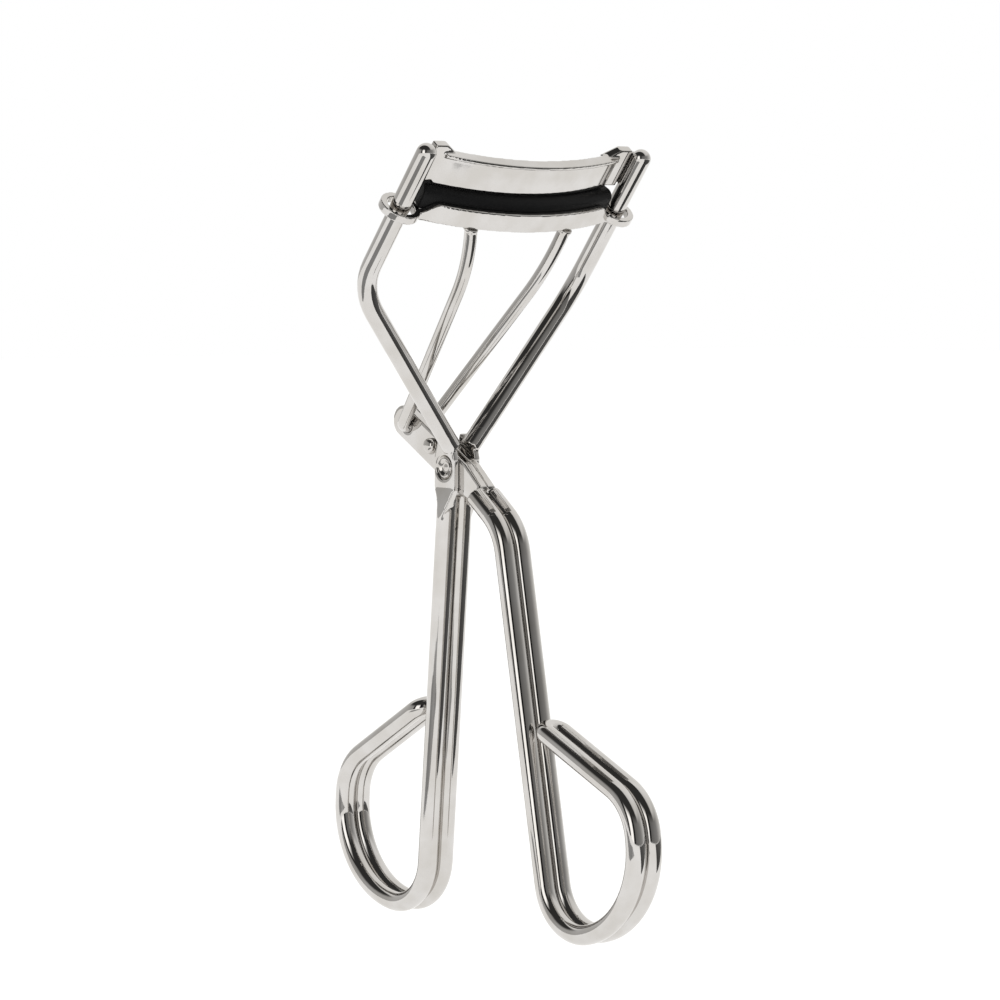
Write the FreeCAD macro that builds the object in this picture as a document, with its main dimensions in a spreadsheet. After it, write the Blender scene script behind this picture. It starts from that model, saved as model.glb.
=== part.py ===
import FreeCAD, Part
import os
from math import sin, cos, tan, pi, radians

# Eyelash curler. Millimetres, +Z up from the finger loops to the jaws, Y along the jaws,
# X across the two handles, +X on the moving lever's side. Everything is laid out from
# the pivot rivet and then moved so that the thumb loop's centre is the origin.
V = FreeCAD.Vector
doc = FreeCAD.newDocument("eyelash_curler")
dims = doc.addObject("Spreadsheet::Sheet", "Dims")
dims.Label = "dimensions"

SIZES = [
    ("rod_d", 2.5, "handle and arm rod"),
    ("strand_gap", 0.03, "half the gap between the two strands"),
    ("strand_y", "=rod_d / 2 + strand_gap", "half the spacing of the two strands"),
    ("origin_x", 12.9, "pivot's distance from the thumb loop's centre, across"),
    ("ref_drop", 31.4, "drop from the pivot to where the loop runs start"),
    ("origin_z", "=ref_drop + 13.1", "pivot's height over the thumb loop's centre"),
    ("flat_gap", 0.06, "gap between neighbouring flats"),
    ("lever_in", 0.08, "lever plates, inner face"),
    ("lever_out", "=(rod_d + lever_in - flat_gap) / 2", "lever plates, outer face"),
    ("flat_in", "=lever_out + flat_gap", "frame flats, inner face"),
    ("flat_out", "=rod_d", "frame flats, outer face"),
    ("flat_face", "=flat_out - 0.32", "pressed face of the frame flats, a little under the rod"),
    ("flat_w", 4.0, "width of the pressed flats"),
    ("flat_high", 1.2, "frame flats, full width above the pivot"),
    ("flat_top", 4.2, "upper facet runs into the arm at this height"),
    ("flat_low", 2.6, "frame flats, full width below the pivot"),
    ("taper_low", 6.5, "end of the tapered facet below the pivot"),
    ("facet_tip", 0.5, "width of that facet at its end"),
    ("relief_low", 3.5, "inner relief, below the pivot"),
    ("handle_shift", 0.1, "frame handle's line passes this far behind the pivot"),
    ("handle_root", 1.0, "round strands start this far below the pivot, inside the flats"),
    ("arm_root", 0.6, "arms run this far on into the flats"),
    ("frame_lean", 4.85, "lean of the frame handle, degrees"),
    ("knee_x", 0.8, "lower end of the arms"),
    ("knee_y", "=flat_out - 0.69", "lower end of the arms, sideways"),
    ("knee_z", 3.0, "lower end of the arms, height"),
    ("elbow_x", 2.45, "corner where arm turns into post"),
    ("elbow_y", 17.35, "posts, sideways"),
    ("elbow_z", 22.6, "corner height"),
    ("elbow_r", 8.45, "bend radius of that corner"),
    ("post_tilt", 38.5, "posts lean from vertical, degrees"),
    ("ring_x", 9.8, "guide ring centre with the jaws closed"),
    ("ring_z", 31.8, "guide ring centre with the jaws closed"),
    ("post_top", 9.0, "straight post ends this far past the ring centre"),
    ("loop_run", 19.5, "straight handle to the start of the loop"),
    ("loop_r1", 6.4, "loop, lower inner bend"),
    ("loop_r2", 11.4, "loop, outer bend"),
    ("loop_flat", 0.8, "loop, short straight at the outside"),
    ("finger_flat", 0.1, "the same on the lever's loop"),
    ("loop_r3", 7.0, "loop, upper bend"),
    ("loop_turn", 55.0, "turn of the upper bend, degrees"),
    ("tip_gap", 4.1, "loop's last straight ends this far off the handle line"),
    ("plate_slope", 30.8, "lever plates slope, degrees"),
    ("plate_far", 11.0, "end cap centre beyond the pivot"),
    ("plate_wide", 2.4, "plate keeps its full width this far past the pivot"),
    ("plate_near", 6.4, "plate has narrowed to the rod here"),
    ("strand_x", 5.2, "start of the round lever strands"),
    ("strand_z", 3.35, "start of the round lever strands, below the pivot"),
    ("bend_x", 10.4, "lever handle bend"),
    ("bend_z", 7.4, "lever handle bend, below the pivot"),
    ("bend_r", 7.5, "lever handle bend radius"),
    ("lever_lean", 10.65, "lean of the lever handle, degrees"),
    ("link_x", 8.4, "yoke hinge, across from the pivot"),
    ("link_z", 5.0, "yoke hinge, above the pivot"),
    ("rivet_r", 1.0, "pivot rivet"),
    ("swage_r", "=rivet_r * 0.98", "low dome of its swaged end, at the foot"),
    ("swage_top", "=rivet_r * 0.62", "the same, at the top"),
    ("swage_h", 0.28, "height of that dome"),
    ("run_fit", 0.04, "radial running clearance"),
    ("sink_r", "=rivet_r + 0.55", "recess round the rivet head"),
    ("sink_deep", 0.35, "depth of that recess"),
    ("stop_x", 3.6, "stop rivet, across from the pivot"),
    ("stop_z", 2.6, "stop rivet, above the pivot"),
    ("stop_r", 0.75, "stop rivet shank"),
    ("stop_head_r", 1.0, "stop rivet head"),
    ("stop_head", 0.9, "height of the stop rivet's head"),
    ("yoke_d", 1.64, "yoke wire"),
    ("yoke_low_y", "=lever_out + flat_gap + yoke_d / 2", "yoke arms at the hinge, sideways"),
    ("yoke_mid_x", 10.1, "bend in the yoke arms"),
    ("yoke_mid_y", 6.44, "bend in the yoke arms, sideways"),
    ("yoke_mid_z", 25.3, "bend in the yoke arms, height"),
    ("yoke_top_y", 7.62, "yoke arms under the jaw, sideways"),
    ("yoke_top_n", 2.8, "yoke arms under the jaw, forward of the posts"),
    ("yoke_turn_r", "=yoke_d / 2 + 0.13", "bend radius where the yoke turns into the lever plates"),
    ("yoke_bend_r", 25.0, "bend radius of the yoke arms"),
    ("foot_r", 1.0, "collar at the top of each yoke arm"),
    ("foot_h", 0.45, "height of that collar"),
    ("wall", 0.8, "thickness of the jaw strip"),
    ("jaw_r", 50.0, "outer radius of the curved jaw"),
    ("jaw_front", 3.9, "jaw front at the middle, forward of the posts"),
    ("ring_gap", 0.55, "clearance of the guide rings round the posts"),
    ("ring_bore", "=rod_d / 2 + ring_gap", "guide ring, inside"),
    ("ring_r", "=ring_bore + wall", "guide ring, outside"),
    ("jaw_half", "=elbow_y - 3.55", "half length of the jaw strip"),
    ("curve_start", "=elbow_y - 4.45", "strip's upper edge starts to curve down to the rings"),
    ("curve_end", "=elbow_y - 1.95", "end of that curve"),
    ("strip_low", 0.1, "jaw strip, lower edge along the post"),
    ("strip_high", 2.75, "jaw strip, upper edge"),
    ("pad_low", 0.75, "channel floor, top face"),
    ("back_high", 2.0, "back wall, upper edge"),
    ("pad_w", 3.3, "width of the pad"),
    ("pad_high", 4.05, "pad, crest"),
    ("pad_round", 1.1, "rounding of the crest"),
    ("pad_half", "=elbow_y - ring_r - 0.2", "half length of the pad"),
    ("pad_fit", 0.02, "pad's gap to the channel walls"),
    ("band_high", 1.15, "band that makes the rings, upper edge"),
    ("band_half", "=elbow_y - 1.65", "half length of that band"),
    ("upper_out", 2.2, "upper plate set back from the strip's front"),
    ("upper_t", 1.1, "upper plate thickness"),
    ("upper_low", "=pad_high + 0.1", "upper plate, pressing edge"),
    ("upper_high", 8.8, "upper plate, top edge"),
    ("upper_half", "=elbow_y - 3.4", "half length of the upper plate"),
    ("lip_low", "=upper_high - 0.55", "rolled lip of the upper plate, lower side"),
    ("lip_out", 0.4, "lip stands forward of the plate"),
    ("ear_low", "=upper_low + 0.25", "ears, lower edge"),
    ("ear_gap", 0.25, "slot between ear and post"),
    ("ear_lap", 0.8, "ears overlap the plate's ends by this"),
    ("ear_set", 0.4, "ears set back from the posts' middle"),
    ("ear_slope", 2.3, "top edge rises to the ears over this length"),
    ("web_lap", 0.3, "web runs into the ear by this"),
    ("web_t", 0.5, "thin web from ear to post"),
    ("web_drop", 0.7, "web ends this far under the ear's top"),
    ("ear_high", "=post_top + 0.9", "ears, upper edge"),
    ("ear_t", 1.1, "ears, thickness"),
]
for row, (alias, value, note) in enumerate(SIZES, start=1):
    dims.set("A%d" % row, note)
    dims.set("B%d" % row, str(value))
    dims.setAlias("B%d" % row, alias)
doc.recompute()


def mm(alias):
    """Read one dimension from the sheet."""
    return float(dims.get(alias))


def bind(obj, **links):
    """Tie properties to sheet cells."""
    for prop, text in links.items():
        for alias in sorted((s[0] for s in SIZES), key=len, reverse=True):
            text = text.replace("<%s>" % alias, "Dims." + alias)
        obj.setExpression(prop, text)
    return obj


def rounded(points, radii):
    """Wire of straight runs joined by tangent arcs."""
    edges, last = [], points[0]
    for i in range(1, len(points) - 1):
        p, r = points[i], radii[i - 1]
        a, b = (points[i - 1] - p).normalize(), (points[i + 1] - p).normalize()
        half = a.getAngle(b) / 2
        start, end = p + a * (r / tan(half)), p + b * (r / tan(half))
        middle = p + (a + b).normalize() * (r / sin(half) - r)
        if (start - last).Length > 1e-6:
            edges.append(Part.makeLine(last, start))
        edges.append(Part.Arc(start, middle, end).toShape())
        last = end
    if (points[-1] - last).Length > 1e-6:
        edges.append(Part.makeLine(last, points[-1]))
    return Part.Wire(edges)


def rod(name, points, radii, size):
    """Round rod swept along a rounded run of points."""
    spine = doc.addObject("Part::Feature", name + "_line")
    spine.Shape = rounded(points, radii)
    ring = doc.addObject("Part::Circle", name + "_section")
    bind(ring, Radius="<%s> / 2" % size)
    aim = (points[1] - points[0]).normalize()
    ring.Placement = FreeCAD.Placement(points[0], FreeCAD.Rotation(V(0, 0, 1), aim))
    sweep = doc.addObject("Part::Sweep", name)
    sweep.Sections, sweep.Spine = [ring], (spine, [])
    sweep.Solid, sweep.Frenet = True, False
    doc.recompute()
    length, area = spine.Shape.Length, pi * (mm(size) / 2) ** 2
    if abs(sweep.Shape.Volume / (length * area) - 1) > 0.01:
        raise RuntimeError("rod %s has lost volume" % name)
    return sweep


def place(obj, at, turn=None):
    obj.Placement = FreeCAD.Placement(at, turn or FreeCAD.Rotation())
    return obj


ALONG_Y = FreeCAD.Rotation(V(0, 0, 1), V(0, 1, 0))


def disc(name, radius, height, at, turn=ALONG_Y):
    """Cylinder starting at a point, by default running along +Y."""
    return place(bind(doc.addObject("Part::Cylinder", name), Radius=radius, Height=height),
                 at, turn)


def cone(name, low, high, height, at, turn=ALONG_Y):
    return place(bind(doc.addObject("Part::Cone", name), Radius1=low, Radius2=high,
                      Height=height), at, turn)


def box(name, length, width, height, at, turn=None):
    return place(bind(doc.addObject("Part::Box", name), Length=length, Width=width,
                      Height=height), at, turn)


def fuse(name, parts):
    out = doc.addObject("Part::MultiFuse", name)
    out.Shapes = parts
    out.Refine = False
    return out


def common(name, parts):
    out = doc.addObject("Part::MultiCommon", name)
    out.Shapes = parts
    return out


def cut(name, base, tool):
    out = doc.addObject("Part::Cut", name)
    out.Base, out.Tool = base, tool
    return out


def mirror(name, source):
    out = doc.addObject("Part::Mirroring", name)
    out.Source, out.Normal, out.Base = source, V(0, 1, 0), V(0, 0, 0)
    return out


NODES = []


def finish(label, obj):
    """Name the finished piece and move it so the thumb loop's centre is the origin."""
    obj.Label = label
    obj.setExpression("Placement.Base.x", "Dims.origin_x")
    obj.setExpression("Placement.Base.z", "Dims.origin_z")
    NODES.append((label, obj))
    return obj


# The posts lean forward, and the jaws are measured along them (rise) and square to them.
tilt = radians(mm("post_tilt"))
RISE, AHEAD = V(sin(tilt), 0, cos(tilt)), V(cos(tilt), 0, -sin(tilt))
RING = V(mm("ring_x"), 0, mm("ring_z"))
TILTED = FreeCAD.Rotation(V(0, 1, 0), mm("post_tilt"))
y_in, y_out = mm("strand_y"), mm("elbow_y")


def jaw_point(rise, ahead, y=0.0):
    return RING + RISE * rise + AHEAD * ahead + V(0, y, 0)


def loop_points(start, top, down, out, y, flat):
    """Handle strand down to the finger loop and round it to the middle of its tip."""
    def at(s, t):
        return start + down * s + out * t + V(0, y, 0)
    run, r1, r2, r3 = mm("loop_run"), mm("loop_r1"), mm("loop_r2"), mm("loop_r3")
    turn, bend = radians(mm("loop_turn")), mm("strand_y")
    wide = r1 + r2
    upper = run + r1 - r2 - mm(flat)
    corner = upper - r3 * tan(turn / 2)
    slide = (wide - mm("tip_gap")) / sin(turn)
    end_s = corner - slide * cos(turn)
    end_t = mm("tip_gap") - bend * sin(turn)
    last = at(end_s - bend * cos(turn), end_t)
    points = [top, at(run + r1, 0), at(run + r1, wide), at(corner, wide), last,
              V(last.x, 0, last.z)]
    return points, [r1, r2, r3, bend]


# frame_wire: one rod bent double. Two strands make the handle and thumb loop, pressed
# flat at the pivot, then open out as the two arms and turn up into the posts.
lean = radians(mm("frame_lean"))
f_down, f_out = V(-sin(lean), 0, -cos(lean)), V(-cos(lean), 0, sin(lean))
f_shift = V(-mm("handle_shift"), 0, 0)
f_ref = f_shift + f_down * (mm("ref_drop") / cos(lean))
f_top = f_shift + V(0, -y_in, 0) + f_down * mm("handle_root")
f_handle = rod("frame_handle", *loop_points(f_ref, f_top, f_down, f_out, -y_in, "loop_flat"),
               size="rod_d")
knee = V(mm("knee_x"), -mm("knee_y"), mm("knee_z"))
elbow = V(mm("elbow_x"), -y_out, mm("elbow_z"))
post_end = jaw_point(mm("post_top"), 0, -y_out)
elbow = post_end - RISE * ((post_end.z - mm("elbow_z")) / RISE.z)
arm_aim = (elbow - knee).normalize()
f_arm = rod("frame_arm", [knee - arm_aim * mm("arm_root"), elbow, post_end], [mm("elbow_r")], "rod_d")
dome = place(bind(doc.addObject("Part::Sphere", "post_dome"), Radius="<rod_d> / 2"), post_end,
             TILTED)
half_w = mm("flat_w") / 2
flat_t = mm("flat_out") - mm("flat_in")


def pressed(name, low, high, low_w, high_w, start, aim, inner, thick):
    """Tapered plate along a direction in the XZ plane, its inner face at a given |y|."""
    side = aim.cross(V(0, -1, 0))
    wedge = doc.addObject("Part::Wedge", name)
    wedge.Xmin, wedge.Xmax = -low_w / 2, low_w / 2
    wedge.X2min, wedge.X2max = -high_w / 2, high_w / 2
    wedge.Ymin, wedge.Ymax = 0, high - low
    wedge.Zmin, wedge.Zmax = 0, thick
    wedge.Z2min, wedge.Z2max = 0, thick
    return place(wedge, start + aim * low + V(0, -inner, 0),
                 FreeCAD.Rotation(side, aim, V(0, -1, 0), "XYZ"))


flats = [
    pressed("flat_middle", -mm("flat_low"), mm("flat_high"), mm("flat_w"), mm("flat_w"),
            V(), V(0, 0, 1), mm("flat_in"), flat_t),
    pressed("flat_upper", mm("flat_high"), mm("flat_top"), mm("flat_w"), mm("rod_d") * 0.9,
            V(), V(0, 0, 1), mm("flat_in"), mm("flat_face") - mm("flat_in")),
    pressed("flat_lower", 0, mm("taper_low") - mm("flat_low"), mm("flat_w"),
            mm("facet_tip"), V(0, 0, -mm("flat_low")), f_down, mm("flat_in"), flat_t),
]
f_solid = fuse("frame_half_solid", [f_handle, f_arm, dome] + flats)
relief = box("frame_relief", "14 mm", "<flat_in> + 0.5", "<relief_low> + <knee_z> - 0.2",
             V(-7, -mm("flat_in"), -mm("relief_low")))
face = doc.addObject("Part::Polygon", "press_outline")
face.Nodes = [V(-7, -y, z) for y, z in (
    (mm("flat_face"), -mm("flat_low")), (mm("flat_face"), mm("flat_high")),
    (mm("flat_face") + mm("knee_z") - mm("flat_high"), mm("knee_z")),
    (mm("rod_d") * 2, mm("knee_z")),
    (mm("rod_d") * 2, -mm("taper_low")), (mm("flat_out") + mm("strand_gap"), -mm("taper_low")))]
face.Close = True
press = doc.addObject("Part::Extrusion", "press_tool")
press.Base, press.Dir, press.LengthFwd, press.Solid = face, V(1, 0, 0), 14, True
f_hole = disc("frame_hole", "<rivet_r>", "6 mm", V(0, -5, 0))
f_sink = disc("frame_sink", "<sink_r>", "<sink_deep> + 2", V(0, -mm("flat_face") - 2, 0))
pressed_half = cut("frame_pressed", f_solid, press)
f_half = cut("frame_half", pressed_half, fuse("frame_cuts", [relief, f_hole, f_sink]))
finish("frame_wire", fuse("frame_both", [f_half, mirror("frame_other", f_half)]))

# pivot_rivet: plain pin through all four flats, its ends swaged to low domes in recesses.
rivet_len = mm("flat_face") - mm("sink_deep")
shank = disc("rivet_shank", "<rivet_r>", "2 * (<flat_face> - <sink_deep>)", V(0, -rivet_len, 0))
head_a = cone("rivet_dome_a", "<swage_r>", "<swage_top>", "<swage_h>",
              V(0, rivet_len, 0))
head_b = mirror("rivet_dome_b", head_a)
finish("pivot_rivet", fuse("rivet", [shank, head_a, head_b]))

# lever_wire: the second rod bent double. Its flattened ends lie between the frame flats,
# reach past the pivot to the yoke hinge, and step out to round strands on the other side.
slope = radians(mm("plate_slope"))
p_turn = FreeCAD.Rotation(V(0, 1, 0), mm("plate_slope"))
plate_t = "<lever_out> - <lever_in>"
along = p_turn.multVec(V(1, 0, 0))
lever_t = mm("lever_out") - mm("lever_in")
reach = pressed("lever_plate", -mm("plate_far"), mm("plate_wide"), mm("flat_w"),
                mm("flat_w"), V(), along, mm("lever_in"), lever_t)
narrow = pressed("lever_narrow", mm("plate_wide"), mm("plate_near"), mm("flat_w"),
                 mm("rod_d") * 0.96, V(), along, mm("lever_in"), lever_t)
cap_a = disc("lever_cap_far", "<flat_w> / 2", plate_t,
             V(-cos(slope) * mm("plate_far"), -mm("lever_out"), sin(slope) * mm("plate_far")))
l_lean = radians(mm("lever_lean"))
l_down, l_out = V(sin(l_lean), 0, -cos(l_lean)), V(cos(l_lean), 0, sin(l_lean))
bend = V(mm("bend_x"), 0, -mm("bend_z"))
l_ref = bend + l_down * ((mm("ref_drop") + 0.5 - mm("bend_z")) / cos(l_lean))
l_top = V(mm("strand_x"), -y_in, -mm("strand_z"))
l_points, l_radii = loop_points(l_ref, l_top, l_down, l_out, -y_in, "finger_flat")
l_points.insert(1, bend + V(0, -y_in, 0))
l_handle = rod("lever_handle", l_points, [mm("bend_r")] + l_radii, "rod_d")
l_solid = fuse("lever_half_solid", [l_handle, reach, narrow, cap_a])
link = V(-mm("link_x"), 0, mm("link_z"))
stop = V(-mm("stop_x"), 0, mm("stop_z"))
l_holes = [
    disc("lever_hole", "<rivet_r> + <run_fit>", "6 mm", V(0, -5, 0)),
    disc("link_hole", "<yoke_d> / 2 + <run_fit>", "6 mm", link + V(0, -5, 0)),
    disc("stop_hole", "<stop_r>", "6 mm", stop + V(0, -5, 0)),
]
l_half = cut("lever_half", l_solid, fuse("lever_cuts", l_holes))
finish("lever_wire", fuse("lever_both", [l_half, mirror("lever_other", l_half)]))

# stop_rivet: short domed rivet through the lever plates, just beside the frame flats.
s_shank = disc("stop_shank", "<stop_r>", "2 * <lever_out>", stop + V(0, -mm("lever_out"), 0))
s_head = disc("stop_head", "<stop_head_r>", "<stop_head> * 0.5", stop + V(0, mm("lever_out"), 0))
s_dome = cone("stop_dome", "<stop_head_r>", "<stop_head_r> * 0.5", "<stop_head> * 0.5",
              stop + V(0, mm("lever_out") + mm("stop_head") * 0.5, 0))
s_heads = fuse("stop_heads", [s_head, s_dome])
finish("stop_rivet", fuse("stop", [s_shank, s_heads, mirror("stop_other", s_heads)]))

# yoke_wire: thin wire with its two lower ends turned in through the lever plates and two
# arms that spread up to collars under the lower jaw.
low = link + V(0, -mm("yoke_low_y"), 0)
mid = V(mm("yoke_mid_x"), -mm("yoke_mid_y"), mm("yoke_mid_z"))
foot_rise = mm("strip_low") - mm("foot_h")
top = jaw_point(mm("strip_low"), mm("yoke_top_n"), -mm("yoke_top_y"))
beyond = top + (top - mid).normalize()
y_arm = rod("yoke_arm", [link, low, mid, beyond], [mm("yoke_turn_r"), mm("yoke_bend_r")],
            "yoke_d")
trim = disc("yoke_trim", "4 mm", "4 mm",
            jaw_point(foot_rise + mm("foot_h") / 2, mm("yoke_top_n"), -mm("yoke_top_y")), TILTED)
foot = disc("yoke_foot", "<foot_r>", "<foot_h>",
            jaw_point(foot_rise, mm("yoke_top_n"), -mm("yoke_top_y")), TILTED)
y_half = fuse("yoke_half", [cut("yoke_arm_cut", y_arm, trim), foot])
finish("yoke_wire", fuse("yoke", [y_half, mirror("yoke_other", y_half)]))


def shell(name, inset, thick, low_h, high_h, half):
    """Piece of the jaw's curved wall: a tube sector about the jaw's centre of curvature."""
    base = jaw_point(mm(low_h), mm("jaw_front") - mm("jaw_r"))
    tall = "<%s> - <%s>" % (high_h, low_h)
    outer = disc(name + "_outer", "<jaw_r> - (%s)" % inset, tall, base, TILTED)
    inner = disc(name + "_inner", "<jaw_r> - (%s) - (%s)" % (inset, thick), tall, base, TILTED)
    slab = box(name + "_slab", "<jaw_r>", "2 * <%s>" % half, tall,
               base + AHEAD * (mm("jaw_r") / 4) - V(0, mm(half), 0), TILTED)
    return common(name, [cut(name + "_tube", outer, inner), slab])


CURVE_STEPS = 8
# lower_jaw: one pressed strip. A curved channel carries the pad; its front wall runs on
# as a narrow band at each end and curls round the post as a guide ring.
wall_full = shell("jaw_front_full", "0", "<wall>", "strip_low", "strip_high", "band_half")
curve = []
for step in range(CURVE_STEPS + 1):
    part = step / CURVE_STEPS
    drop = part * part * (3 - 2 * part)
    curve.append((mm("curve_start") + (mm("curve_end") - mm("curve_start")) * part,
                  mm("strip_high") + (mm("band_high") - mm("strip_high")) * drop))
curve.append((mm("band_half") + 1, mm("band_high")))
curve.append((mm("band_half") + 1, mm("strip_low") - 1))
outline = doc.addObject("Part::Polygon", "jaw_front_outline")
outline.Nodes = ([jaw_point(rise, 0, y) for y, rise in curve]
                 + [jaw_point(rise, 0, -y) for y, rise in reversed(curve)])
outline.Close = True
outline_cut = doc.addObject("Part::Extrusion", "jaw_front_cutter")
outline_cut.Base, outline_cut.Dir, outline_cut.Solid = outline, AHEAD, True
outline_cut.LengthFwd, outline_cut.LengthRev = 10, 10
front = common("jaw_front_wall", [wall_full, outline_cut])
floor = shell("jaw_floor", "0", "<pad_w> + 2 * <wall> + 2 * <pad_fit>", "strip_low", "pad_low",
              "jaw_half")
back = shell("jaw_back_wall", "<pad_w> + <wall> + 2 * <pad_fit>", "<wall>", "strip_low",
             "back_high", "jaw_half")
band = shell("jaw_band", "0", "<wall>", "strip_low", "band_high", "band_half")
rings, bores = [], []
for side, y in (("left", -y_out), ("right", y_out)):
    at = jaw_point(mm("strip_low"), 0, y)
    rings.append(disc("ring_" + side, "<ring_r>", "<band_high> - <strip_low>", at, TILTED))
    bores.append(disc("ring_bore_" + side, "<ring_bore>", "<band_high> - <strip_low> + 2",
                      at - RISE, TILTED))
jaw = cut("jaw_bored", fuse("jaw_solid", [front, floor, back, band] + rings),
          fuse("jaw_bores", bores))
finish("lower_jaw", jaw)

# lash_pad: black rubber strip seated in the channel, its crest standing proud and rounded.
pad_block = shell("pad_block", "<wall> + <pad_fit>", "<pad_w>", "pad_low", "pad_high",
                  "pad_half")
doc.recompute()
crest = []
for number, edge in enumerate(pad_block.Shape.Edges, start=1):
    rises = [(v.Point - RING).dot(RISE) for v in edge.Vertexes]
    if edge.Length > mm("pad_half") and min(rises) > mm("pad_high") - 1e-3:
        crest.append((number, mm("pad_round"), mm("pad_round")))
pad = doc.addObject("Part::Fillet", "pad_rounded")
pad.Base, pad.Edges = pad_block, crest
finish("lash_pad", pad)

# upper_jaw: curved plate whose lower edge presses on the pad; an ear at each end is
# brazed to the side of a post, just under its dome.
plate = shell("upper_plate", "<upper_out>", "<upper_t>", "upper_low", "upper_high",
              "upper_half")
lip = shell("upper_lip", "<upper_out> - <lip_out>", "<upper_t>", "lip_low", "upper_high",
            "upper_half")
ears, notches = [], []
ear_y = mm("upper_half") - mm("ear_lap")
ear_end = y_out - mm("rod_d") / 2 - mm("ear_gap")
ear_back = -mm("ear_t") - mm("ear_set")
lip_side = mm("upper_high") - mm("ear_set")
ear_shape = [(mm("upper_half") - mm("ear_slope"), lip_side), (mm("upper_half"), mm("ear_high")),
             (ear_end, mm("ear_high")), (ear_end, mm("ear_low")), (ear_y, mm("ear_low")),
             (ear_y, lip_side)]
for side, sign in (("left", -1), ("right", 1)):
    ear_outline = doc.addObject("Part::Polygon", "ear_outline_" + side)
    ear_outline.Nodes = [jaw_point(rise, ear_back, sign * y) for y, rise in ear_shape]
    ear_outline.Close = True
    ear = bind(doc.addObject("Part::Extrusion", "ear_" + side), LengthFwd="<ear_t>")
    ear.Base, ear.Dir, ear.Solid = ear_outline, AHEAD, True
    ears.append(ear)
    start = -y_out if sign < 0 else ear_end - mm("web_lap")
    ears.append(box("web_" + side, "<web_t>", "<rod_d> / 2 + <ear_gap> + <web_lap>",
                    "<ear_high> - <ear_low> - <web_drop>",
                    jaw_point(mm("ear_low"), ear_back, start), TILTED))
    notches.append(disc("ear_notch_" + side, "<rod_d> / 2", "<ear_high> + <ear_t>",
                        jaw_point(0, 0, sign * y_out), TILTED))
upper = cut("upper_notched", fuse("upper_solid", [plate, lip] + ears), fuse("ear_notches", notches))
finish("upper_jaw", upper)

doc.recompute()
for obj in doc.Objects:
    if {"Invalid", "Error"} & set(obj.State):
        raise RuntimeError("%s did not compute" % obj.Name)
    if hasattr(obj, "Shape") and (obj.Shape.isNull() or not obj.Shape.isValid()):
        raise RuntimeError("%s has no valid shape" % obj.Name)
os.makedirs("parts", exist_ok=True)
for label, obj in NODES:
    if len(obj.Shape.Solids) != 1:
        raise RuntimeError("%s is not one solid" % label)
    obj.Shape.exportStep("parts/%s.step" % label)
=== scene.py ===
import bpy
from math import asin, cos, pi, radians, sin
from mathutils import Matrix, Vector


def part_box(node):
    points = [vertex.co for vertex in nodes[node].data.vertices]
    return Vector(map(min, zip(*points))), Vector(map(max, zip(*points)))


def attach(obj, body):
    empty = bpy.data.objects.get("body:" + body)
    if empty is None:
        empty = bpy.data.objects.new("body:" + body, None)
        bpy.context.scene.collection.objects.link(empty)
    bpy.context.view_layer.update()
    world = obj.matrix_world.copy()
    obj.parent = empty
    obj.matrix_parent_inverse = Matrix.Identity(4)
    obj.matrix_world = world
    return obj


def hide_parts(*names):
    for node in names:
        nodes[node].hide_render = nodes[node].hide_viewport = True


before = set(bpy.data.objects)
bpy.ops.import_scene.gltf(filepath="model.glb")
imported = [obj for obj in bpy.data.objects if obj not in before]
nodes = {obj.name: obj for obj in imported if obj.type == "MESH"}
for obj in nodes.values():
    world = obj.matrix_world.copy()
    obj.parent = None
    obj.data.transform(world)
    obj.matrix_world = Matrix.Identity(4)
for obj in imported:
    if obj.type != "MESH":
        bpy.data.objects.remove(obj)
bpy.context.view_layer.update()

# The camera stands in front and to one side, a little under half a metre away, and looks
# slightly down through a long lens.
VIEW_POINT = Vector((0.38079, -0.30159, 0.06816))
VIEW_CENTRE = Vector((0.021373, 0.0, 0.040693))
LENS_MM, SENSOR_MM = 135.36, 36.0
NEAREST = 0.01
bpy.ops.object.camera_add(location=VIEW_POINT)
camera = bpy.context.object
camera.name = "bench_camera"
camera.rotation_euler = (VIEW_CENTRE - VIEW_POINT).to_track_quat("-Z", "Y").to_euler()
camera.data.lens = LENS_MM
camera.data.sensor_width = SENSOR_MM
camera.data.clip_start = NEAREST
bpy.context.scene.camera = camera

# The floor is a plain sheet of pale card below the finger loops. It glows, so it is almost
# as white as the air behind it.
FLOOR_Z = -0.0165
FLOOR_SIZE = 6.0
CARD_GREY = (0.25, 0.25, 0.25, 1)
CARD_GLOW = (1, 0.995, 0.985, 1)
GLOW_STRENGTH = 0.97
CARD_ROUGH = 0.9
bpy.ops.mesh.primitive_plane_add(size=FLOOR_SIZE, location=(0, 0, FLOOR_Z))
floor = bpy.context.object
floor.name = "floor_card"
card = bpy.data.materials.new("white_card")
card.use_nodes = True
card_shader = card.node_tree.nodes["Principled BSDF"]
card_shader.inputs["Base Color"].default_value = CARD_GREY
card_shader.inputs["Roughness"].default_value = CARD_ROUGH
card_shader.inputs["Specular IOR Level"].default_value = 0.0
card_shader.inputs["Emission Color"].default_value = CARD_GLOW
card_shader.inputs["Emission Strength"].default_value = GLOW_STRENGTH
floor.data.materials.append(card)

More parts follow.
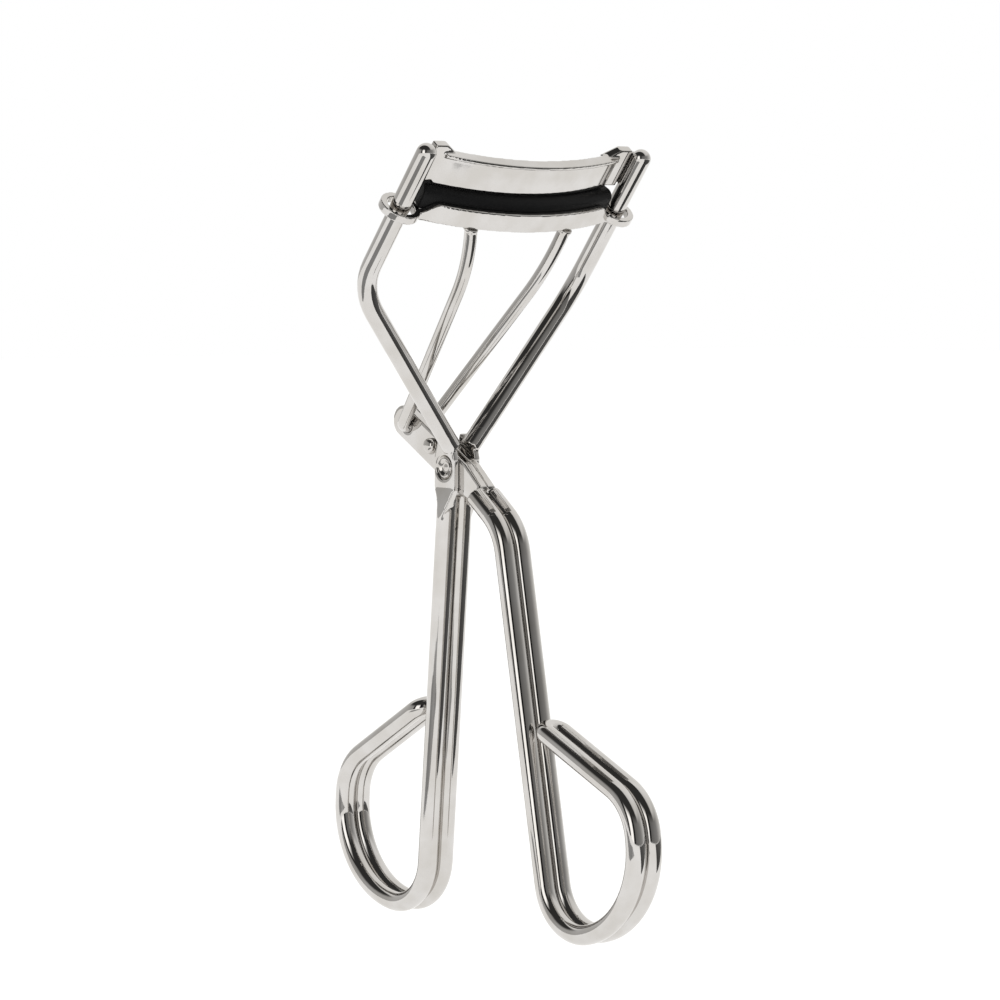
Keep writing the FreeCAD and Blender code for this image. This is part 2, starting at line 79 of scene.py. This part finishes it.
# Bright plating shows only what stands round it, so it stands in a tent of lit panels, with
# dark slots, greyer cloth in front and a dark roof on the lens side. Each entry is an azimuth
# from +X towards +Y in degrees and the brightness there, which blends evenly in between.
scene = bpy.context.scene
scene.view_settings.view_transform = "Standard"
tent = bpy.data.worlds.new("light_tent")
tent.use_nodes = True
scene.world = tent
PANELS_LOW = [(-180, 0.62), (-168, 0.62), (-100, 0.40), (-97, 0.02), (-86, 0.02), (-80, 1.6),
              (-57, 1.6), (-54, 0.01), (-39, 0.01), (-34, 0.16), (30, 0.30), (70, 0.66),
              (110, 1.0), (150, 0.95), (180, 0.62)]
PANELS_HIGH = [(-180, 0.9), (-165, 0.9), (-155, 0.04), (10, 0.04), (25, 0.8), (90, 1.0),
               (180, 0.9)]
TENT_CLOTH = (0.5, 0.495, 0.485)
TENT_STRENGTH = 2.0
SEEN_WHITE = (0.5, 0.5, 0.5, 1)
ROOF_STARTS, ROOF_FULL = radians(24), radians(38)
FULL_TURN, HALF_TURN = 360, 180
sky = tent.node_tree
sky_link = sky.links.new
backdrop = sky.nodes["Background"]
toward = sky.nodes.new("ShaderNodeTexCoord")
split = sky.nodes.new("ShaderNodeSeparateXYZ")
sky_link(toward.outputs["Generated"], split.inputs["Vector"])
turn = sky.nodes.new("ShaderNodeMath")
turn.operation = "ARCTAN2"
sky_link(split.outputs["Y"], turn.inputs[0])
sky_link(split.outputs["X"], turn.inputs[1])
share = sky.nodes.new("ShaderNodeMapRange")
share.inputs["From Min"].default_value = -pi
share.inputs["From Max"].default_value = pi
sky_link(turn.outputs["Value"], share.inputs["Value"])


def panel_ring(panels):
    """Ramp of panel brightness round the tent."""
    ramp = sky.nodes.new("ShaderNodeValToRGB")
    stops = ramp.color_ramp.elements
    while len(stops) > 1:
        stops.remove(stops[-1])
    for index, (azimuth, level) in enumerate(panels):
        at = (azimuth + HALF_TURN) / FULL_TURN
        stop = stops[0] if index == 0 else stops.new(at)
        stop.position = at
        stop.color = (*(level * part for part in TENT_CLOTH), 1)
    sky_link(share.outputs["Result"], ramp.inputs["Fac"])
    return ramp


rise = sky.nodes.new("ShaderNodeMapRange")
rise.inputs["From Min"].default_value = sin(ROOF_STARTS)
rise.inputs["From Max"].default_value = sin(ROOF_FULL)
sky_link(split.outputs["Z"], rise.inputs["Value"])
blend_rings = sky.nodes.new("ShaderNodeMixRGB")
sky_link(rise.outputs["Result"], blend_rings.inputs["Fac"])
sky_link(panel_ring(PANELS_LOW).outputs["Color"], blend_rings.inputs["Color1"])
sky_link(panel_ring(PANELS_HIGH).outputs["Color"], blend_rings.inputs["Color2"])
sight = sky.nodes.new("ShaderNodeLightPath")
seen = sky.nodes.new("ShaderNodeMixRGB")
seen.inputs["Color2"].default_value = SEEN_WHITE
sky_link(sight.outputs["Is Camera Ray"], seen.inputs["Fac"])
sky_link(blend_rings.outputs["Color"], seen.inputs["Color1"])
sky_link(seen.outputs["Color"], backdrop.inputs["Color"])
backdrop.inputs["Strength"].default_value = TENT_STRENGTH

# One softbox overhead, on the lens side, gives the black rubber its soft light. It is hidden
# from reflections, so it doesn't show in the plating.
SOFTBOX_PLACE = Vector((0.25, -0.25, 0.45))
SOFTBOX_AIM = Vector((0.02, 0, 0.06))
SOFTBOX_WATTS, SOFTBOX_SIZE = 0.5, 0.4
bpy.ops.object.light_add(type="AREA", location=SOFTBOX_PLACE)
softbox = bpy.context.object
softbox.name = "softbox"
softbox.rotation_euler = (SOFTBOX_AIM - softbox.location).to_track_quat("-Z", "Y").to_euler()
softbox.data.energy = SOFTBOX_WATTS
softbox.data.size = SOFTBOX_SIZE
softbox.visible_glossy = False

# A grey card and a black card lie on the floor, and only reflections show them. They give
# the posts and the handles the dark lines that set plated wire off from a white ground.
FLAGS = [("near_flag", (0.02, -0.14), (0.15, 0.12), 0.28),
         ("far_flag", (0.635, 0.51), (1.13, 0.99), 0.03)]
FLAG_LIFT = 0.0005
FLAG_INK = (0.01, 0.01, 0.01, 1)
for flag_name, spot, size, glow in FLAGS:
    bpy.ops.mesh.primitive_plane_add(size=1, location=(*spot, FLOOR_Z + FLAG_LIFT))
    flag = bpy.context.object
    flag.name = flag_name
    flag.scale = (*size, 1)
    bpy.ops.object.transform_apply(location=True, rotation=True, scale=True)
    flag.visible_camera = False
    flag.visible_diffuse = False
    flag.visible_shadow = False
    flag_card = bpy.data.materials.new(flag_name)
    flag_card.use_nodes = True
    flag_shader = flag_card.node_tree.nodes["Principled BSDF"]
    flag_shader.inputs["Base Color"].default_value = FLAG_INK
    flag_shader.inputs["Emission Color"].default_value = (1, 1, 1, 1)
    flag_shader.inputs["Emission Strength"].default_value = glow
    flag.data.materials.append(flag_card)

# Bright plating. The wire, pressings and rivets are all polished steel with thick nickel
# plate: a slightly warm mirror, a little wavy from polishing, with soft cloudy patches.
NICKEL_TINT = (0.64, 0.625, 0.61)
CLOUD_SHADE = (0.90, 0.89, 0.87)
CLOUD_SCALE, CLOUD_DETAIL = 260.0, 3.0
CLOUD_FROM, CLOUD_TO = 0.35, 0.65
ROUGH_FROM, ROUGH_TO = 0.3, 0.75
NICKEL_ROUGH = 0.05
GLOSSY_SHARE, DULL_SHARE = 0.6, 1.5
PEEL_SCALE, PEEL_DETAIL = 420.0, 1.0
PEEL_STRENGTH, PEEL_DEPTH = 0.25, 0.00002


def plated(name, tint, rough, wave):
    """Polished nickel plate with a faint orange-peel and cloudy patches."""
    finish = bpy.data.materials.new(name)
    finish.use_nodes = True
    tree = finish.node_tree
    shader = tree.nodes["Principled BSDF"]
    shader.inputs["Metallic"].default_value = 1.0
    place = tree.nodes.new("ShaderNodeTexCoord")
    cloud = tree.nodes.new("ShaderNodeTexNoise")
    cloud.inputs["Scale"].default_value = CLOUD_SCALE
    cloud.inputs["Detail"].default_value = CLOUD_DETAIL
    tone = tree.nodes.new("ShaderNodeValToRGB")
    dim, bright = tone.color_ramp.elements
    dim.position, bright.position = CLOUD_FROM, CLOUD_TO
    dim.color = (*(full * shade for full, shade in zip(tint, CLOUD_SHADE)), 1)
    bright.color = (*tint, 1)
    gloss = tree.nodes.new("ShaderNodeMapRange")
    gloss.inputs["From Min"].default_value = ROUGH_FROM
    gloss.inputs["From Max"].default_value = ROUGH_TO
    gloss.inputs["To Min"].default_value = rough * GLOSSY_SHARE
    gloss.inputs["To Max"].default_value = rough * DULL_SHARE
    peel = tree.nodes.new("ShaderNodeTexNoise")
    peel.inputs["Scale"].default_value = PEEL_SCALE
    peel.inputs["Detail"].default_value = PEEL_DETAIL
    bump = tree.nodes.new("ShaderNodeBump")
    bump.inputs["Strength"].default_value = wave
    bump.inputs["Distance"].default_value = PEEL_DEPTH
    link = tree.links.new
    link(place.outputs["Object"], cloud.inputs["Vector"])
    link(place.outputs["Object"], peel.inputs["Vector"])
    link(cloud.outputs["Fac"], tone.inputs["Fac"])
    link(cloud.outputs["Fac"], gloss.inputs["Value"])
    link(tone.outputs["Color"], shader.inputs["Base Color"])
    link(gloss.outputs["Result"], shader.inputs["Roughness"])
    link(peel.outputs["Fac"], bump.inputs["Height"])
    link(bump.outputs["Normal"], shader.inputs["Normal"])
    return finish


nickel = plated("bright_nickel", NICKEL_TINT, NICKEL_ROUGH, PEEL_STRENGTH)

# Frame: one rod bent double. Its strands are pressed flat where the rivet passes, and the
# press leaves rounded shoulders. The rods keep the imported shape; only the pressed zone is
# worked again, as one half and its mirror image.
FRAME_LOW, FRAME_HIGH = -0.0078, 0.0050
OVERLAP = 0.0005
WELD = 1e-7
PRESS_GRAIN = 0.00011
PRESS_PASSES = 14
POLISH_FACTOR = 0.5
ROD_CREASE = radians(40)
UP, DOWN, ACROSS = (0, 0, 1), (0, 0, -1), (0, 1, 0)
MIDDLE = (0, 0, 0)


def middle_of(node):
    """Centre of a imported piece's box."""
    low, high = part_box(node)
    return (Vector(low) + Vector(high)) / 2


pivot = middle_of("pivot_rivet")


def welded_copy(node, name):
    """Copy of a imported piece, welded so that it can be worked."""
    bpy.ops.object.select_all(action="DESELECT")
    piece = bpy.data.objects.new(name, nodes[node].data.copy())
    bpy.context.collection.objects.link(piece)
    piece.select_set(True)
    bpy.context.view_layer.objects.active = piece
    bpy.ops.mesh.customdata_custom_splitnormals_clear()
    bpy.ops.object.mode_set(mode="EDIT")
    bpy.ops.mesh.select_all(action="SELECT")
    bpy.ops.mesh.remove_doubles(threshold=WELD)
    bpy.ops.object.mode_set(mode="OBJECT")
    return piece


def trim(piece, point, away):
    """Cut off what lies beyond a plane and close the cut."""
    bpy.ops.object.mode_set(mode="EDIT")
    bpy.ops.mesh.select_all(action="SELECT")
    bpy.ops.mesh.bisect(plane_co=point, plane_no=away, use_fill=True, clear_outer=True)
    bpy.ops.object.mode_set(mode="OBJECT")
    bpy.ops.object.shade_smooth_by_angle(angle=ROD_CREASE)


def soften(piece, grain, passes):
    """Round every edge a little, as pressing, tumbling and plating leave them."""
    skin = piece.modifiers.new("skin", "REMESH")
    skin.mode = "VOXEL"
    skin.voxel_size = grain
    polish = piece.modifiers.new("polish", "SMOOTH")
    polish.factor = POLISH_FACTOR
    polish.iterations = passes
    bpy.ops.object.modifier_apply(modifier="skin")
    bpy.ops.object.modifier_apply(modifier="polish")
    bpy.ops.object.shade_smooth()


def mirror_over(piece):
    """Add the other half, on the far side of the middle plane."""
    other = piece.modifiers.new("other_half", "MIRROR")
    other.use_axis = (False, True, False)
    other.use_mirror_merge = False
    bpy.ops.object.modifier_apply(modifier="other_half")


def join(pieces, name):
    """Make one object of several."""
    bpy.ops.object.select_all(action="DESELECT")
    for piece in pieces:
        piece.select_set(True)
    bpy.context.view_layer.objects.active = pieces[0]
    bpy.ops.object.join()
    pieces[0].name = name
    return pieces[0]


def at_height(z):
    """Point at a height above the pivot."""
    return (0, 0, pivot.z + z)


def finish_piece(piece, body, node, finish):
    """Give a piece its finish and its place in the model."""
    piece.data.materials.clear()
    piece.data.materials.append(finish)
    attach(piece, body)
    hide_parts(node)


handle = welded_copy("frame_wire", "frame_handle")
trim(handle, at_height(FRAME_LOW), UP)
arms = welded_copy("frame_wire", "frame_arms")
trim(arms, at_height(FRAME_HIGH), DOWN)
flats = welded_copy("frame_wire", "frame_flats")
trim(flats, at_height(FRAME_HIGH + OVERLAP), UP)
trim(flats, at_height(FRAME_LOW - OVERLAP), DOWN)
trim(flats, MIDDLE, ACROSS)
soften(flats, PRESS_GRAIN, PRESS_PASSES)
mirror_over(flats)
frame_body = join([handle, arms, flats], "frame_body")
finish_piece(frame_body, "frame", "frame_wire", nickel)

# Lever: the second rod bent double. Its flattened ends lie between the frame's flats and
# are rounded off where the yoke hooks in; below them it is plain round rod.
LEVER_LOW = -0.0056
lever_rods = welded_copy("lever_wire", "lever_rods")
trim(lever_rods, at_height(LEVER_LOW), UP)
plates = welded_copy("lever_wire", "lever_plates")
trim(plates, at_height(LEVER_LOW - OVERLAP), DOWN)
trim(plates, MIDDLE, ACROSS)
soften(plates, PRESS_GRAIN, PRESS_PASSES)
mirror_over(plates)
lever_body = join([lever_rods, plates], "lever_body")
finish_piece(lever_body, "lever", "lever_wire", nickel)

# Pivot rivet: a turned steel pin through all four flats. Each end is swaged into its
# recess, which leaves a rolled rim round a shallow dish. Millimetres from the middle.
PIN_SIDES = 48
PER_METRE = 1000
PIVOT_END = [(1.00, 1.60), (1.20, 1.80), (1.30, 1.95), (1.27, 2.08), (1.12, 2.15),
             (0.94, 2.08), (0.76, 1.88), (0.54, 1.78), (0.30, 1.84), (0.10, 1.88)]


def turned_pin(name, centre, end):
    """Pin turned about the Y axis from (radius, distance) pairs, the same at both ends."""
    outline = [(r, -y) for r, y in reversed(end)] + list(end)
    last_r, last_y = outline[0]
    bpy.ops.object.select_all(action="DESELECT")
    bpy.ops.mesh.primitive_circle_add(vertices=PIN_SIDES, radius=last_r / PER_METRE,
                                      fill_type="NGON", rotation=(radians(90), 0, 0),
                                      location=centre + Vector((0, last_y / PER_METRE, 0)))
    pin = bpy.context.object
    pin.name = name
    bpy.ops.object.transform_apply(location=True, rotation=True, scale=True)
    bpy.ops.object.mode_set(mode="EDIT")
    bpy.ops.mesh.select_all(action="SELECT")
    for r, y in outline[1:]:
        bpy.ops.mesh.extrude_region_move(
            TRANSFORM_OT_translate={"value": (0, (y - last_y) / PER_METRE, 0)})
        grow = r / last_r
        bpy.ops.transform.resize(value=(grow, 1, grow))
        last_r, last_y = r, y
    bpy.ops.mesh.select_all(action="SELECT")
    bpy.ops.mesh.normals_make_consistent(inside=False)
    bpy.ops.object.mode_set(mode="OBJECT")
    bpy.ops.object.shade_smooth_by_angle(angle=ROD_CREASE)
    return pin


swaged_rivet = turned_pin("swaged_rivet", pivot, PIVOT_END)
finish_piece(swaged_rivet, "frame", "pivot_rivet", nickel)

# Stop rivet: a short steel rivet through the lever's flats. Its two domed heads stand just
# beside the frame's flats.
STOP_END = [(0.74, 1.22), (0.97, 1.27), (1.00, 1.45), (0.97, 1.68), (0.87, 1.88),
            (0.70, 2.03), (0.48, 2.12), (0.22, 2.155)]
domed_rivet = turned_pin("domed_rivet", middle_of("stop_rivet"), STOP_END)
finish_piece(domed_rivet, "lever", "stop_rivet", nickel)

# Yoke: thinner wire hooked through the lever's flats. Each arm is brazed to the strip with
# a small soft-edged collar.
COLLAR_LOW = 0.0285
COLLAR_PASSES = 10
yoke_rods = welded_copy("yoke_wire", "yoke_rods")
trim(yoke_rods, at_height(COLLAR_LOW), UP)
collars = welded_copy("yoke_wire", "yoke_collars")
trim(collars, at_height(COLLAR_LOW - OVERLAP), DOWN)
soften(collars, PRESS_GRAIN, COLLAR_PASSES)
yoke_body = join([yoke_rods, collars], "yoke_body")
finish_piece(yoke_body, "carriage", "yoke_wire", nickel)

# Upper plate and lower strip: pressed from sheet and tumbled, so every edge is soft. The
# plate is brazed to the posts by its ears; the strip ends in the two guide rings.
JAW_GRAIN = 0.0001
JAWS = [("upper_jaw", "upper_plate", "frame", 20),
        ("lower_jaw", "lower_strip", "carriage", 6)]
for jaw_node, jaw_name, jaw_body, jaw_passes in JAWS:
    jaw = welded_copy(jaw_node, jaw_name)
    soften(jaw, JAW_GRAIN, jaw_passes)
    finish_piece(jaw, jaw_body, jaw_node, nickel)

# Lash pad: a black moulded rubber strip pressed into the strip's channel. Its section has a
# rounded crest, and it follows the jaw's curve.
RISE_TILT = radians(38.5)
RISE = Vector((sin(RISE_TILT), 0, cos(RISE_TILT)))
AHEAD = Vector((cos(RISE_TILT), 0, -sin(RISE_TILT)))
RING_FROM_PIVOT = Vector((0.0098, 0, 0.0318))
JAW_FRONT, JAW_RADIUS = 0.0039, 0.0500
ring_centre = pivot + RING_FROM_PIVOT
jaw_axis = ring_centre + AHEAD * (JAW_FRONT - JAW_RADIUS)
PAD_OUT, PAD_WIDE = 0.04918, 0.0033
PAD_LOW, PAD_HIGH = 0.00120, 0.00405
PAD_REACH = 0.0153
PAD_STEPS = 72
CREST_ROUND, CREST_STEPS = 0.00115, 8
EDGE_ROUND, EDGE_STEPS = 0.0002, 3
pad_middle = (PAD_LOW + PAD_HIGH) / 2
half_sweep = asin(PAD_REACH / PAD_OUT)
start_turn = Matrix.Rotation(-half_sweep, 3, RISE)
start_ahead = start_turn @ AHEAD
section = Matrix((start_ahead, RISE, start_ahead.cross(RISE))).transposed()
bpy.ops.object.select_all(action="DESELECT")
bpy.ops.mesh.primitive_plane_add(
    size=1, rotation=section.to_euler(),
    location=jaw_axis + start_ahead * (PAD_OUT - PAD_WIDE / 2) + RISE * pad_middle)
pad = bpy.context.object
pad.name = "rubber_pad"
pad.scale = (PAD_WIDE, PAD_HIGH - PAD_LOW, 1)
bpy.ops.object.transform_apply(location=True, rotation=True, scale=True)
bpy.ops.object.mode_set(mode="EDIT")
bpy.ops.mesh.select_mode(type="VERT")
bpy.ops.mesh.select_all(action="DESELECT")
bpy.ops.object.mode_set(mode="OBJECT")
for vertex in pad.data.vertices:
    vertex.select = (vertex.co - ring_centre).dot(RISE) > pad_middle
bpy.ops.object.mode_set(mode="EDIT")
bpy.ops.mesh.bevel(offset=CREST_ROUND, segments=CREST_STEPS, affect="VERTICES")
bpy.ops.mesh.select_all(action="SELECT")
bpy.ops.mesh.spin(steps=PAD_STEPS, angle=-2 * half_sweep, center=jaw_axis, axis=RISE)
bpy.ops.mesh.select_all(action="SELECT")
bpy.ops.mesh.normals_make_consistent(inside=False)
bpy.ops.object.mode_set(mode="OBJECT")
rounding = pad.modifiers.new("soft_edges", "BEVEL")
rounding.width = EDGE_ROUND
rounding.segments = EDGE_STEPS
rounding.limit_method = "ANGLE"
bpy.ops.object.modifier_apply(modifier="soft_edges")
bpy.ops.object.shade_smooth_by_angle(angle=ROD_CREASE)

# The rubber is black and matt, with a fine moulded grain.
RUBBER_DARK = (0.003, 0.003, 0.0035, 1)
RUBBER_PALE = (0.010, 0.010, 0.0105, 1)
RUBBER_SCALE, RUBBER_DETAIL = 2600.0, 4.0
RUBBER_STRENGTH, RUBBER_DEPTH = 0.3, 0.00003
RUBBER_ROUGH, RUBBER_SHINE = 0.45, 0.15
rubber = bpy.data.materials.new("black_rubber")
rubber.use_nodes = True
rubber_tree = rubber.node_tree
rubber_link = rubber_tree.links.new
rubber_shader = rubber_tree.nodes["Principled BSDF"]
rubber_place = rubber_tree.nodes.new("ShaderNodeTexCoord")
rubber_grain = rubber_tree.nodes.new("ShaderNodeTexNoise")
rubber_grain.inputs["Scale"].default_value = RUBBER_SCALE
rubber_grain.inputs["Detail"].default_value = RUBBER_DETAIL
rubber_tone = rubber_tree.nodes.new("ShaderNodeValToRGB")
rubber_tone.color_ramp.elements[0].color = RUBBER_DARK
rubber_tone.color_ramp.elements[1].color = RUBBER_PALE
rubber_bump = rubber_tree.nodes.new("ShaderNodeBump")
rubber_bump.inputs["Strength"].default_value = RUBBER_STRENGTH
rubber_bump.inputs["Distance"].default_value = RUBBER_DEPTH
rubber_link(rubber_place.outputs["Object"], rubber_grain.inputs["Vector"])
rubber_link(rubber_grain.outputs["Fac"], rubber_tone.inputs["Fac"])
rubber_link(rubber_tone.outputs["Color"], rubber_shader.inputs["Base Color"])
rubber_link(rubber_grain.outputs["Fac"], rubber_bump.inputs["Height"])
rubber_link(rubber_bump.outputs["Normal"], rubber_shader.inputs["Normal"])
rubber_shader.inputs["Roughness"].default_value = RUBBER_ROUGH
rubber_shader.inputs["Specular IOR Level"].default_value = RUBBER_SHINE
finish_piece(pad, "carriage", "lash_pad", rubber)
